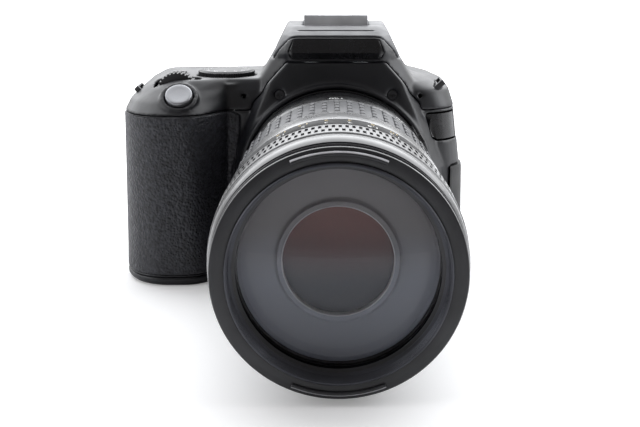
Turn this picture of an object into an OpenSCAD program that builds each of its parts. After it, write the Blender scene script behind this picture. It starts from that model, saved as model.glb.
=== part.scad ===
// Single-lens reflex camera with a telephoto zoom lens.
// Millimetres. +Z is up, the lens looks along -Y, +X is the side away from the grip.
// The origin is the mouth of the tripod socket, under the lens axis.

/* [Body] */
// Overall height, base to shoe top
body_h = 92.6; // [84:0.1:101]
// Lens axis to the grip side
grip_reach = 75.4; // [74:0.1:77]
// Lens axis to the far side
far_reach = 45.8; // [45.4:0.1:48]
// Lens axis above the base
axis_h = 36; // [35.9:0.1:36.4]
// Mount face to the tripod axis
tripod_back = 22; // [20:0.5:24]
// Grip front ahead of the mount face
grip_front = 8; // [7:0.5:9]
// Mount face to the rear cover face
rear_depth = 54; // [53.8:0.1:56]
// Seam between front and top covers
seam_h = 60; // [53:0.1:67]
// Height of the control shoulder above the seam
shoulder_rise = 11; // [10.8:0.1:11.6]
// Moulded wall
wall = 2.2; // [2:0.1:2.4]
// Height of the bottom cover
base_h = 3.2; // [3:0.1:3.5]
// Thickness of the grip rubber
rub = 1.2; // [0.8:0.1:1.4]

/* [Lens] */
// Mount face to the front rim
lens_len = 122; // [110:0.5:134]
// Largest diameter, at the focus ring
lens_d = 71; // [70.8:0.1:71.6]
// Filter thread diameter
filter_d = 58; // [57.6:0.1:58.4]
// Travel of the barrel from wide to tele
zoom_travel = 44; // [30:1:46]
// Travel of the front cell from far to near
focus_travel = 6; // [3:0.5:8]
// Rib columns round the zoom rubber
zoom_ribs = 54; // [36:2:72]
// Notches in each row of the focus ring
focus_notches = 120; // [80:2:140]

/* [Controls] */
// Mode dial diameter
mode_d = 20.4; // [18:0.2:21]
// Mode dial height
mode_h = 2.4; // [2:0.1:3.4]
// Main dial diameter
main_d = 14.8; // [14:0.1:15.4]
// Shutter button diameter
shutter_d = 9.4; // [8.6:0.1:10]
// Travel of a small button
press = 0.7; // [0.5:0.05:0.9]
// Diameter of a small rear button
key_d = 5.4; // [4.8:0.1:5.8]
// Cross key ring diameter
cross_d = 20.8; // [19:0.1:21.4]

/* [Screen] */
// Thickness of the screen panel
screen_t = 6.4; // [5.6:0.1:6.8]
// Width of the screen panel
screen_w = 71.6; // [68:0.2:72]

/* [Clearances] */
// Clearance round moving pieces
gap = 0.3; // [0.3:0.02:0.4]
// Slack of a moulded hole round a turned piece
slack = 0.15; // [0.12:0.01:0.25]

/* [Hidden] */
$fn = 96;
x_l = -grip_reach;
x_r = far_reach;
mount_y = -tripod_back;
shoulder_h = seam_h + shoulder_rise;
hump_h = body_h - 3.4;
tilt = 40.2;
seam_d = 31;
grip_in = -46;
prow_h = hump_h - 11.6;
deck_h = hump_h - 10.9;
lip_h = hump_h - 3;
pivot_d = 33;
pivot_h = hump_h - 3.2;
flash_end = 7.9;
shoe_d = 19.3;
shoe_w = 22.8;
shoe_base = body_h - 4.6;
eye_h = hump_h - 8.2;
key_h = seam_h + 3.3;
mode_x = -39.6;
mode_dp = 24.5;
mode_floor = shoulder_h - 2.6;
lever_rest = 120;
lever_throw = 50;
lever_r = mode_d / 2 + 3.2;
main_x = -56;
main_dp = 12;
main_h = shoulder_h + 2.4 - main_d / 2;
shutter_x = -54.2;
screen_dp = rear_depth + 0.6;
screen_ax = x_r - 3.2;
screen_x0 = screen_ax - 4 - screen_w;
screen_z0 = 4.9;
screen_z1 = seam_h - 2.4;
cross_x = screen_x0 - 15.4;
recess_dp = screen_dp - screen_t / 2 - 0.4;
door_t = 1.6;
door_proud = 0.7;
bezel_r = 34.3;
door_x0 = x_l + 7.6;
door_x1 = -40.6;
door_d0 = 1.6;
door_d1 = 35.4;
lens_r = lens_d / 2;
hood_r = lens_r - 1.5;
zoom_t = 34;
af_turn = 31;
release_x = 36.1;
release_h = axis_h - 16;
release_r = 4.6;
mirror_len = 27;
mirror_dp = 35;
mirror_h = axis_h + 12.2;

// Placement helpers. Depths are measured back from the mount face.

function at(d) = mount_y + d;

function arc(x, y, r, a, n) = [for (i = [0:n]) [x + r * cos(a + 90 * i / n), y + r * sin(a + 90 * i / n)]];

function rounded(x0, x1, y0, y1, r, n = 6) = concat(
  arc(x1 - r, y1 - r, r, 0, n), arc(x0 + r, y1 - r, r, 90, n),
  arc(x0 + r, y0 + r, r, 180, n), arc(x1 - r, y0 + r, r, 270, n));

function knurl(r, depth, n, duty) = [for (i = [0:n - 1]) for (k = [[0, 1], [0.12, 0], [duty, 0], [duty + 0.12, 1]])
  let (a = 360 * (i + k[0]) / n) [(r - depth * k[1]) * cos(a), (r - depth * k[1]) * sin(a)]];

// A box given by its low and high corners, with depths for y
module box(x0, x1, d0, d1, z0, z1) translate([x0, at(d0), z0]) cube([x1 - x0, d1 - d0, z1 - z0]);

// Local z runs forward along the lens axis from the mount face
module along_lens() translate([0, mount_y, axis_h]) rotate([90, 0, 0]) children();

module turned(pts) along_lens() rotate_extrude() polygon(pts);

// The same from the front rim, with distances behind it negative
module from_front() along_lens() translate([0, 0, lens_len]) children();

// Local z points out of the back
module on_back(x, d, z) translate([x, at(d), z]) rotate([-90, 0, 0]) children();

// A front-view outline pushed from depth d0 back to d1
module front_prism(pts, d0, d1) translate([0, at(d1), 0]) rotate([90, 0, 0]) linear_extrude(d1 - d0) polygon(pts);

// A side-view outline of depth and height, pushed from x0 to x1
module side_prism(x0, x1) translate([x0, mount_y, 0]) rotate([90, 0, 90]) linear_extrude(x1 - x0) children();

// Moulded envelope. Each lump is a stack of level outlines, and t insets it for a cavity.

function held(z, lo, hi, t) = max(lo + t, min(hi - t, z));

function slope(h) = -grip_front + h / tan(tilt);

function grip_outline(x0, f, b, v = 9) = [[x0, f + 15], [x0 + 4.2, f + 5], [x0 + 11.5, f], [grip_in - 5, f],
  [grip_in, f + 3], [grip_in + 9, v], [grip_in + 9, b], [x0, b]];

function grip_levels() = [
  [0, grip_outline(x_l + 1.4, 1.4 - grip_front, rear_depth - 1.4)],
  [1.4, grip_outline(x_l, -grip_front, rear_depth)],
  [30, grip_outline(x_l + 0.2, 0.7 - grip_front, rear_depth)],
  [seam_h, grip_outline(x_l + 0.5, -grip_front, rear_depth)],
  [seam_h + 4, grip_outline(x_l + 2.2, slope(4), rear_depth - 0.1)],
  [seam_h + 7.6, grip_outline(x_l + 6.2, slope(7.6), rear_depth - 1.2, 9.6)],
  [shoulder_h - 0.7, grip_outline(x_l + 11, slope(shoulder_rise - 0.7), rear_depth - 3.4, 11)],
  [shoulder_h, grip_outline(x_l + 13.4, slope(shoulder_rise) + 0.6, rear_depth - 5, 12)]];

function slab_outline(x0, x1, f, b) = [[x0, f], [min(28, x1 - 9), f], [x1 - 5, f + 3.5], [x1, f + 11], [x1, b], [x0, b]];

function slab_levels() = [
  [0, slab_outline(-52, x_r - 1.4, 8.4, rear_depth - 1.4)],
  [1.4, slab_outline(-52, x_r, 7, rear_depth)],
  [38, slab_outline(-52, x_r - 0.4, 7, rear_depth)],
  [seam_h, slab_outline(-52, x_r - 2.8, 7.4, rear_depth)],
  [seam_h + 6.8, slab_outline(-52, x_r - 5, 9, rear_depth - 0.3)],
  [seam_h + 9.6, slab_outline(-48, x_r - 11, 10.6, rear_depth - 1.6)],
  [shoulder_h - 0.15, slab_outline(-43, x_r - 15.2, 11.6, rear_depth - 2.6)],
  [shoulder_h + 0.1, slab_outline(-27.4, x_r - 16.4, 11.9, rear_depth - 2.8)],
  [seam_h + 12.2, slab_outline(-20, x_r - 20.6, 13, rear_depth - 4)]];

function prow_outline(w, e = 5) = [[-w, 2], [w, 2], [w + e, 12], [w + e, 20], [-w - e, 20], [-w - e, 12]];

// Shares of the rise of the prow above the lens, and of the hump above the seam
function up_prow(k) = axis_h + 4 + k * (prow_h - axis_h - 4);

function up_hump(k) = seam_h + k * (hump_h - seam_h);

function prow_levels() = [
  [1.2, prow_outline(33.4)], [3, prow_outline(34.6)], [axis_h + 4, prow_outline(34.6)],
  [up_prow(0.29), prow_outline(31)], [up_prow(0.56), prow_outline(27.2, 4)], [up_prow(0.69), prow_outline(25.3, 1)],
  [up_prow(0.82), prow_outline(23.4, -1.2)], [prow_h, prow_outline(17.4, -1.5)]];

function hump_outline(wf, f, wb, b) = [[-wf, f], [wf, f], [wb, f + 8.5], [wb, b], [-wb, b], [-wb, f + 8.5]];

function hump_levels() = [
  [up_hump(0.17), hump_outline(25.5, 6.5, 33, rear_depth - 1)],
  [up_hump(0.29), hump_outline(22.6, 5, 29.2, rear_depth - 1.2)],
  [up_hump(0.41), hump_outline(20, 3.6, 26.6, rear_depth - 1.6)],
  [up_hump(0.53), hump_outline(18, 2.8, 24.4, rear_depth - 2.1)],
  [hump_h - 10.8, hump_outline(16.4, 2.3, 22.8, rear_depth - 2.6)],
  [hump_h - 8.2, hump_outline(16.9, 0.9, 21.6, rear_depth - 4)],
  [hump_h - 4.7, hump_outline(16, 1.4, 19.9, rear_depth - 6.5)],
  [hump_h - 2.8, hump_outline(15.2, 2.4, 19, rear_depth - 8.5)],
  [hump_h - 1.4, hump_outline(14.8, 6.5, 18.3, rear_depth - 10.5)],
  [hump_h - 0.4, hump_outline(14.4, 10.5, 17.6, rear_depth - 12)],
  [hump_h, hump_outline(14, 12.5, 16.8, rear_depth - 13)]];

function eye_outline(w, b) = [[-w, 44], [w, 44], [w, b], [-w, b]];

function eye_levels() = [
  [seam_h - 0.4, eye_outline(17.6, rear_depth + 2)], [eye_h - 3, eye_outline(17.6, rear_depth + 2)],
  [eye_h, eye_outline(15.6, rear_depth + 0.6)]];

function unit(v) = v / norm(v);

// A closed outline moved in by t
function inset(p, t) = [for (i = [0:len(p) - 1]) let (a = unit(p[i] - p[(i + len(p) - 1) % len(p)]),
  b = unit(p[(i + 1) % len(p)] - p[i])) p[i] + [-a[1] - b[1], a[0] + b[0]] * t / (1 + a * b)];

// Its corners drawn round from a setback k on each side
function softened(p, k, m = 4) = [for (i = [0:len(p) - 1]) let (q = p[i], u = p[(i + len(p) - 1) % len(p)] - q,
  v = p[(i + 1) % len(p)] - q, a = q + u * min(0.45, k / norm(u)), b = q + v * min(0.45, k / norm(v)))
  for (j = [0:m]) let (f = j / m) a * (1 - f) * (1 - f) + q * 2 * f * (1 - f) + b * f * f];

function ring(pts, z, k, t) = [for (p = softened(inset(pts, t), k)) [p[0], at(p[1]), z]];

module loft(levels, k, t) {
  lo = levels[0][0];
  hi = levels[len(levels) - 1][0];
  for (i = [0:len(levels) - 2]) {
    za = held(levels[i][0], lo, hi, t);
    zb = held(levels[i + 1][0], lo, hi, t);
    a = ring(levels[i][1], za, k, t);
    b = ring(levels[i + 1][1], zb, k, t);
    if (zb - za > 0.01) hull() polyhedron(concat(a, b), [[for (j = [0:len(a) - 1]) j], [for (j = [0:len(b) - 1]) len(a) + j]]);
  }
}

module prow(t = 0) loft(prow_levels(), 1.6, t);

module hump(t = 0) loft(hump_levels(), 2.4, t);

module envelope(t = 0) {
  loft(grip_levels(), 5, t);
  loft(slab_levels(), 4, t);
  prow(t);
  hump(t);
  loft(eye_levels(), 2, t);
}

module shell() difference() {
  envelope();
  envelope(wall);
}

// Outlines shared by a cover and the piece let into it

function rubber_outline() = [[-90, base_h + 0.8], [-38, base_h + 0.8], [-36.4, seam_h - 30], [-35.4, seam_h - 17.6], [-33.9, seam_h - 6.4],
  [-33.7, seam_h - 1.6], [-36.8, seam_h - 0.2], [-90, seam_h - 0.2]];

function badge_outline() = [[x_r - 14.4, seam_h - 0.8], [x_r + 14, seam_h - 0.8], [x_r + 14, seam_h - 11.2],
  [x_r - 9.8, seam_h - 11.2], [x_r - 11.8, seam_h - 9.8]];

function logo_outline(g) = [[-16.4 + g, eye_h], [-14.6 + g, lip_h - 0.7 - g], [14.6 - g, lip_h - 0.7 - g],
  [16.4 - g, eye_h], [15.2 - g, hump_h - 10.3 + g], [-15.2 + g, hump_h - 10.3 + g]];

module door_zone(d0, d1, g) intersection() {
  side_prism(x_r - 4.6 - g, x_r + 10) offset(delta = g) polygon(rounded(d0, d1, 8.4, 39.2, 4));
  box(x_r - 4.6 - g, x_r + 10, d0 - g, d1 + g, 0, 60);
}

module flash_side(g) offset(delta = -g) union() {
  polygon([[-4, lip_h], [3.2, lip_h], [9.8, deck_h], [pivot_d, deck_h], [pivot_d, hump_h + 9], [-4, hump_h + 9]]);
  translate([pivot_d, pivot_h]) circle(r = flash_end, $fn = 48);
}

module shutter_frame_of(h) translate([shutter_x, at(slope(5.8)), seam_h + 5.8]) rotate([tilt, 0, 0])
  translate([0, 0, h]) children();

function lug_seat(s) = [s < 0 ? x_l + 5.6 : x_r - 9, at(20), s < 0 ? seam_h + 5.6 : seam_h + 7.8];

module lug_block(s) translate(lug_seat(s)) rotate([0, s * 45, 0]) translate([-1, -5.5, -2.4]) cube([2, 11, 4.8]);

// Covers

module front_cover() color("#1b1b1d") difference() {
  union() {
    intersection() {
      shell();
      box(-120, 120, -60, seam_d, base_h, seam_h);
    }
    intersection() {
      difference() {
        prow();
        envelope(wall);
      }
      box(-60, 60, -60, 20.5, base_h, prow_h + 1);
    }
    intersection() {
      difference() {
        envelope(door_t + gap);
        envelope(door_t + gap + 1.8);
      }
      door_zone(-20, 30, 1.2);
      box(0, 120, -60, seam_d, base_h, seam_h);
    }
    intersection() {
      along_lens() translate([0, 0, -4]) cylinder(r = bezel_r, h = 3.7);
      box(-60, 60, -60, 20, base_h, body_h);
    }
  }
  difference() {
    front_prism(rubber_outline(), -20, 22);
    envelope(rub);
  }
  difference() {
    front_prism(badge_outline(), -20, 24);
    envelope(1.1);
  }
  difference() {
    door_zone(-20, 30, gap);
    envelope(door_t + gap);
  }
  along_lens() translate([0, 0, -8]) cylinder(r = 32.3 + slack, h = 12);
  translate([release_x, at(-6), release_h]) rotate([-90, 0, 0]) cylinder(r = release_r + gap, h = 22, $fn = 40);
  for (s = [-1, 1]) translate([s * 19.6, at(-2), max(up_prow(0.7), axis_h + 28.6)]) rotate([-90, 0, 0]) {
    cylinder(r = 1.6 + slack, h = 5.4, $fn = 24);
    cylinder(r = 0.9 + slack, h = 10, $fn = 24);
  }
}

module top_cover() color("#1d1d1f") {
  difference() {
    union() {
      intersection() {
        shell();
        box(-120, 120, -60, 100, seam_h, body_h);
      }
      intersection() {
        hump();
        side_prism(-40, 40) difference() {
          flash_side(-1.4);
          flash_side(0);
        }
      }
      shutter_frame_of(-1) cylinder(r = shutter_d / 2 + 2, h = 1.8, $fn = 48);
      translate([mode_x, at(mode_dp), mode_floor - 1.8]) cylinder(r = lever_r + 2, h = 2.6, $fn = 64);
    }
    prow(-0.04);
    side_prism(-40, 40) flash_side(0);
    front_prism(logo_outline(0), -4, 3);
    shutter_frame_of(-6) cylinder(r = shutter_d / 2 + gap, h = 12, $fn = 48);
    box(main_x - main_d / 2 - 0.8, main_x + main_d / 2 + 0.8, main_dp - 3 - 2 * gap, main_dp + 3 + 2 * gap, seam_h, 90);
    translate([mode_x, at(mode_dp), seam_h]) cylinder(r = 3 + gap, h = 20, $fn = 40);
    translate([mode_x, at(mode_dp), mode_floor]) {
      cylinder(r = mode_d / 2 + 2 * gap, h = 20, $fn = 72);
      rotate([0, 0, lever_rest - lever_throw - 16]) rotate_extrude(angle = lever_throw + 32, $fn = 72)
        polygon([[mode_d / 2 - 2, 0], [lever_r + 2 * gap, 0], [lever_r + 2 * gap, 20], [mode_d / 2 - 2, 20]]);
    }
    translate([-57, at(27), seam_h]) cylinder(r = 2.6 + gap, h = 20, $fn = 32);
    for (x = [35.7, 27, -31, -52, -62]) on_back(x, rear_depth - 8, key_h) cylinder(d = key_d + 2 * gap, h = 14, $fn = 32);
    on_back(-21.6, rear_depth - 8, seam_h + 9) cylinder(r = 1.2 + gap, h = 14, $fn = 24);
    box(-12.5, 12.5, 42, 70, seam_h + 4.6, eye_h - 4.4);
    for (x = [-32.4, 29.6]) translate([x, at(0), seam_h + 5]) rotate([-90, 0, 0]) cylinder(r = 0.7, h = 12, $fn = 16);
    for (s = [-1, 1]) lug_block(s);
  }
  difference() {
    intersection() {
      hump();
      box(-shoe_w / 2, shoe_w / 2, shoe_d - 1, 41, deck_h, shoe_base);
    }
    translate([-30, at(pivot_d), pivot_h]) rotate([0, 90, 0]) cylinder(r = 1.2 + slack, h = 60, $fn = 32);
  }
}

module rear_cover() color("#1b1b1d") difference() {
  union() {
    intersection() {
      shell();
      box(-120, 120, seam_d, 100, base_h, seam_h);
    }
    intersection() {
      envelope();
      box(screen_x0 - 2.6, 120, recess_dp - 2, recess_dp + 0.5, base_h, seam_h);
    }
    intersection() {
      difference() {
        envelope(door_t + gap);
        envelope(door_t + gap + 1.8);
      }
      door_zone(32, 46, 1.2);
      box(0, 120, seam_d, 100, base_h, seam_h);
    }
  }
  box(screen_x0 - 0.5, 120, recess_dp, 100, screen_z0 - 0.6, screen_z1 + 0.6);
  difference() {
    door_zone(32, 46, gap);
    envelope(door_t + gap);
  }
  on_back(cross_x + 6.4, rear_depth - 4, seam_h - 6.4) cylinder(d = key_d + 2 * gap, h = 10, $fn = 32);
  on_back(cross_x, rear_depth - 4, 31) cylinder(d = cross_d + 2 * gap, h = 10, $fn = 64);
  for (x = [cross_x + 6.4, cross_x - 6.6]) on_back(x, rear_depth - 4, 11.6) cylinder(d = key_d + 2 * gap, h = 10, $fn = 32);
}

module bottom_cover() color("#19191b") difference() {
  intersection() {
    shell();
    box(-120, 120, -60, 100, -1, base_h);
  }
  box(door_x0 - gap, door_x1 + 1.4, door_d0 - gap, door_d1 + gap, -1, base_h);
  along_lens() translate([0, 0, -8]) cylinder(r = 32.3 + slack, h = 12);
  translate([0, 0, -1]) cylinder(r = 5.5 + slack, h = 10, $fn = 48);
  for (p = [[-28, 46], [36, 46], [36, 18], [-28, 18]]) translate([p[0], at(p[1]), -1]) {
    cylinder(r = 1.6 + slack, h = 2, $fn = 24);
    cylinder(r = 0.9 + slack, h = 6, $fn = 24);
  }
}

module grip_rubber() color("#141414") {
  intersection() {
    difference() {
      envelope();
      envelope(rub);
    }
    front_prism(rubber_outline(), -20, 22);
  }
  translate([0, at(rear_depth), 0]) rotate([90, 0, 0]) hull() {
    translate([0, 0, -0.6]) linear_extrude(0.6) polygon(rounded(x_l + 3.6, x_l + 14.8, seam_h - 23, seam_h - 2, 5));
    translate([0, 0, -2.4]) linear_extrude(0.2) polygon(rounded(x_l + 6, x_l + 12.6, seam_h - 17, seam_h - 4, 3.2));
  }
}

module front_plates() color("#0c0c0d") {
  intersection() {
    front_prism(logo_outline(0), 0.6, 3);
    hump(-0.2);
  }
  intersection() {
    difference() {
      envelope(0.3);
      envelope(1.1);
    }
    front_prism(badge_outline(), -20, 24);
    box(-120, 120, -60, seam_d, base_h, seam_h);
  }
}

module screws() color("#2a2a2c") {
  for (s = [-1, 1]) translate([s * 19.6, at(2.1), max(up_prow(0.7), axis_h + 28.6)]) rotate([-90, 0, 0]) cross_screw(1.2, 4);
  for (a = [40, 140, 220, 320]) along_lens() rotate([0, 0, a]) translate([29.9, 0, -0.1]) rotate([180, 0, 0]) cross_screw(1, 3.9);
  for (p = [[-28, 46], [36, 46], [36, 18], [-28, 18]]) translate([p[0], at(p[1]), 0.2]) cross_screw(0.8, 3.6);
}

module cross_screw(head, l) difference() {
  union() {
    cylinder(r = 1.6, h = head, $fn = 32);
    cylinder(r = 0.9, h = l, $fn = 32);
  }
  for (a = [0, 90]) rotate([0, 0, a]) translate([-0.9, -0.22, -0.1]) cube([1.8, 0.44, 0.6]);
}

module strap_lugs() color("#3a3a3c") for (s = [-1, 1]) difference() {
  lug_block(s);
  translate(lug_seat(s)) rotate([0, s * 45, 0]) translate([-3, -3.8, 0.3]) cube([6, 7.6, 1.3]);
}

module hot_shoe() color("#8f9093") difference() {
  box(-shoe_w / 2, shoe_w / 2, shoe_d, shoe_d + 20, shoe_base, body_h);
  box(-9.4, 9.4, shoe_d + 1.6, shoe_d + 30, shoe_base + 0.8, shoe_base + 3.2);
  box(-6.3, 6.3, shoe_d + 1.6, shoe_d + 30, shoe_base + 0.8, body_h + 1);
}

module eyecup() color("#151515") difference() {
  front_prism(rounded(-17, 17, seam_h + 1.2, eye_h - 1, min(5, (eye_h - seam_h) / 3)), rear_depth + 2, rear_depth + 7.8);
  front_prism(rounded(-12, 12, seam_h + 4.8, eye_h - 4.6, min(3, (eye_h - seam_h - 9.6) / 2)), rear_depth, rear_depth + 4.6);
  front_prism(rounded(-14, 14, seam_h + 3.4, eye_h - 3.2, min(3.6, (eye_h - seam_h) / 5)), rear_depth + 4.4, rear_depth + 9);
}

module eyepiece_lens() color("#aebfca") intersection() {
  box(-12.5, 12.5, rear_depth - 2, rear_depth + 1.6, seam_h + 4.6, eye_h - 4.4);
  translate([0, at(rear_depth + 1.6 - 60), (seam_h + eye_h) / 2]) sphere(r = 60);
}

module tripod_bush() color("#b9a06a") difference() {
  union() {
    cylinder(r = 5.5, h = 8);
    translate([0, 0, wall]) cylinder(r = 8, h = 1.6);
  }
  translate([0, 0, -1]) cylinder(r = 3.175, h = 7);
}

// Mirror box and what sits behind it

module lens_mount_ring() color("#c9cacc") along_lens() difference() {
  union() {
    rotate_extrude() polygon([[27.6, -4], [32.3, -4], [32.3, -0.4], [31.9, 0], [27.6, 0]]);
    for (a = [20, 140, 260]) rotate([0, 0, a]) rotate_extrude(angle = 46)
      polygon([[26, -2.9], [27.7, -2.9], [27.7, -1.2], [26, -1.2]]);
  }
  for (a = [40, 140, 220, 320]) rotate([0, 0, a]) translate([29.9, 0, 0]) {
    translate([0, 0, -1.1]) cylinder(r = 1.66, h = 2, $fn = 32);
    translate([0, 0, -5]) cylinder(r = 0.95, h = 6, $fn = 32);
  }
}

module mirror_box() color("#161617") difference() {
  union() {
    along_lens() translate([0, 0, -6.2]) cylinder(r = 31.6, h = 2.2);
    box(-21, 21, 6, 38.4, axis_h - 22, axis_h + 16);
  }
  along_lens() translate([0, 0, -7]) cylinder(r = 27.2, h = 4);
  box(-18.5, 18.5, 6.2, 40, axis_h - 19, axis_h + 14);
  along_lens() translate([0, 0, -8]) intersection() {
    cylinder(r = 27.2, h = 4);
    translate([-18.5, -19, 0]) cube([37, 33, 4]);
  }
  box(-14, 14, 10, 34.4, axis_h + 10, axis_h + 20);
}

module reflex_mirror() color("#d5dde2") translate([0, at(mirror_dp), mirror_h]) rotate([45, 0, 0]) {
  translate([-16, -mirror_len, -0.7]) cube([32, mirror_len, 1.4]);
  translate([-18, 0, 0]) rotate([0, 90, 0]) cylinder(r = 1.1, h = 36, $fn = 32);
}

module focusing_screen() color("#dfe3e4") box(-15, 15, 9.4, 35, axis_h + 16, axis_h + 17.4);

function up_finder(k) = axis_h + 17.4 + k * (hump_h - 13.2 - axis_h - 17.4);

module pentamirror() color("#2b2d30") difference() {
  side_prism(-15.6, 15.6) polygon([for (p = [[9.4, 0], [36, 0], [43.4, 0.34], [43.4, 0.87], [30, 1], [16, 0.91],
    [9.4, 0.47]]) [p[0], up_finder(p[1])]]);
  for (s = [-1, 1]) translate([s * 15.6, at(0), up_finder(0.58)]) rotate([0, s * 38, 0]) translate([-30, 0, 0]) cube([60, 60, 60]);
}

module shutter_frame() color("#222325") difference() {
  box(-20, 20, 38.4, 43, axis_h - 30, axis_h + 18.4);
  box(-12, 12, 38, 44, axis_h - 8.2, axis_h + 8.2);
  box(-13.5 - gap, 13.5 + gap, 40.2, 41.4, axis_h - 29, axis_h + 9.4 + gap);
}

module shutter_curtain() color("#303234") box(-13.5, 13.5, 40.5, 41.1, axis_h - 9.3, axis_h + 9.4);

module image_sensor() color("#2f4a52") {
  box(-13, 13, 43, 45, axis_h - 9.5, axis_h + 9.5);
  box(-18, 18, 45, 46.6, axis_h - 14, axis_h + 14);
}

module main_board() color("#1d4a33") difference() {
  union() {
    box(-32, x_r - 4.8, 46.6, 48, 8, seam_h - 3);
    box(-30, -20, 45, 46.6, 30, 44);
    box(22, 36, 45, 46.6, 22, 40);
  }
  for (x = [-29, 38]) on_back(x, 40, 12) cylinder(r = 1.2, h = 20, $fn = 24);
}

module battery_pack() color("#26282a") difference() {
  translate([0, 0, wall + 0.4]) linear_extrude(45) polygon(rounded(door_x0 + 0.6, door_x0 + 14.6, at(2), at(35), 1.5));
  for (i = [0:3]) box(door_x0 + 2.6 + 3 * i, door_x0 + 4 + 3 * i, 1, 3.2, 40, 50);
}

module battery_door() color("#19191b") difference() {
  union() {
    translate([0, 0, 0.2]) linear_extrude(wall - 0.2) polygon(rounded(door_x0, door_x1, at(door_d0), at(door_d1), 1.2));
    translate([door_x1, at(door_d1), 1.2]) rotate([90, 0, 0]) cylinder(r = 1, h = door_d1 - door_d0, $fn = 32);
  }
  for (i = [0:2]) box(door_x0 + 3 + 1.4 * i, door_x0 + 3.7 + 1.4 * i, door_d0 + 11, door_d1 - 11, -1, 0.6);
}

// Flash head

module flash_head() color("#1d1d1f") difference() {
  intersection() {
    hump();
    side_prism(-40, 40) flash_side(gap);
  }
  box(-shoe_w / 2 - gap, shoe_w / 2 + gap, pivot_d - 15.6, 60, 60, 110);
  box(-13.6, 13.6, 8.5, 15, deck_h + 1.8, hump_h - 1.8);
  flash_face(0) cube([27.2, 7, 9], center = true);
  translate([-30, at(pivot_d), pivot_h]) rotate([0, 90, 0]) cylinder(r = 1.2 + slack, h = 60, $fn = 32);
}

// Local z looks out of the sloping front of the raised head
module flash_face(h) translate([0, at(6.5 + gap * 0.6), (lip_h + deck_h) / 2 + gap])
  rotate([90 + atan2(6.6, lip_h - deck_h), 0, 0]) translate([0, 0, h]) children();

module flash_window() color("#e8eaea") flash_face(-0.9) translate([-13.6, -3.5, -1.4]) difference() {
  cube([27.2, 7, 1.6]);
  for (i = [0:4]) translate([-1, 0.6 + 1.3 * i, 1.3]) cube([30, 0.6, 1]);
}

module flash_pin() color("#9a9b9e") translate([-15.6, at(pivot_d), pivot_h]) rotate([0, 90, 0]) cylinder(r = 1.2, h = 31.2, $fn = 32);

// Controls

module shutter_button() color("#9b9c9e") {
  shutter_frame_of(-4) cylinder(d = shutter_d - 1.4, h = 4);
  intersection() {
    shutter_frame_of(-1) cylinder(d = shutter_d, h = 4);
    shutter_frame_of(2.1 - 20) sphere(r = 20);
  }
}

module main_dial() color("#1a1a1b") translate([main_x, at(main_dp + 3), main_h]) rotate([90, 0, 0]) {
  linear_extrude(6) polygon(knurl(main_d / 2, 0.5, 32, 0.5));
  translate([0, 0, -1.4]) cylinder(r = 1.4, h = 8.8);
}

module mode_dial() color("#1a1a1b") translate([mode_x, at(mode_dp), mode_floor + 1.3 + 2 * gap]) {
  linear_extrude(mode_h - 0.5) polygon(knurl(mode_d / 2, 0.35, 72, 0.5));
  rotate_extrude() polygon([[0, mode_h - 0.6], [mode_d / 2 - 0.4, mode_h - 0.6], [mode_d / 2 - 1, mode_h], [0, mode_h]]);
  translate([0, 0, -6]) cylinder(r = 3, h = 7);
}

module power_lever() color("#222223") translate([mode_x, at(mode_dp), mode_floor + gap]) difference() {
  union() {
    cylinder(r = mode_d / 2 - 0.2, h = 1.3);
    rotate([0, 0, lever_rest]) translate([0, -2.2, 0]) cube([lever_r - 0.4, 4.4, 1.3]);
    rotate([0, 0, lever_rest]) translate([lever_r - 2.4, -2.2, 0]) cube([2, 4.4, 3.6]);
  }
  translate([0, 0, -1]) cylinder(r = 3 + gap, h = 6);
}

module iso_button() color("#1a1a1b") translate([-57, at(27), shoulder_h - 3]) {
  cylinder(r = 2.6, h = 3.9);
}

module key(x, d, z, out) on_back(x, d, z) {
  translate([0, 0, -3]) cylinder(d = key_d, h = 3 + out - 0.3);
  translate([0, 0, out - 0.3]) cylinder(d1 = key_d, d2 = key_d - 0.6, h = 0.3);
}

module menu_button() color("#1a1a1b") key(35.7, rear_depth, key_h, 1);

module info_button() color("#1a1a1b") key(27, rear_depth, key_h, 1);

module live_view_button() color("#1a1a1b") key(-31, rear_depth, key_h, 1);

module lock_button() color("#1a1a1b") key(-52, rear_depth, key_h, 1);

module af_point_button() color("#1a1a1b") key(-62, rear_depth, key_h, 1);

module exposure_button() color("#1a1a1b") key(cross_x + 6.4, rear_depth, seam_h - 6.4, 1);

module playback_button() color("#1a1a1b") key(cross_x + 6.4, rear_depth, 11.6, 1);

module erase_button() color("#1a1a1b") key(cross_x - 6.6, rear_depth, 11.6, 1);

module set_button() color("#1a1a1b") on_back(cross_x, rear_depth - 3, 31) cylinder(d = cross_d / 2 - 1.2, h = 4);

module cross_keys() color("#1a1a1b") on_back(cross_x, rear_depth - 2.6, 31) difference() {
  rotate_extrude() polygon([[cross_d / 4 - 0.6 + gap, 0], [cross_d / 2, 0], [cross_d / 2, 3.4], [cross_d / 2 - 0.8, 4],
    [cross_d / 4 + 0.8, 3.5], [cross_d / 4 - 0.6 + gap, 3.3]]);
  for (a = [0:90:270]) rotate([0, 0, a]) translate([cross_d / 2 - 2.6, -0.5, 3.55]) cube([1.4, 1, 2]);
}

module dioptre_knob() color("#1a1a1b") on_back(-21.6, rear_depth + 0.1, seam_h + 9) {
  linear_extrude(2.2) polygon(knurl(3.4, 0.3, 24, 0.5));
  translate([0, 0, -4]) cylinder(r = 1.2, h = 5);
}

module lens_release_button() color("#1c1c1e") translate([release_x, at(-0.6), release_h]) rotate([-90, 0, 0]) {
  cylinder(r1 = release_r - 0.5, r2 = release_r, h = 0.5);
  translate([0, 0, 0.5]) cylinder(r = release_r, h = 9);
}

// Screen on its vertical hinge at the far side

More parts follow.
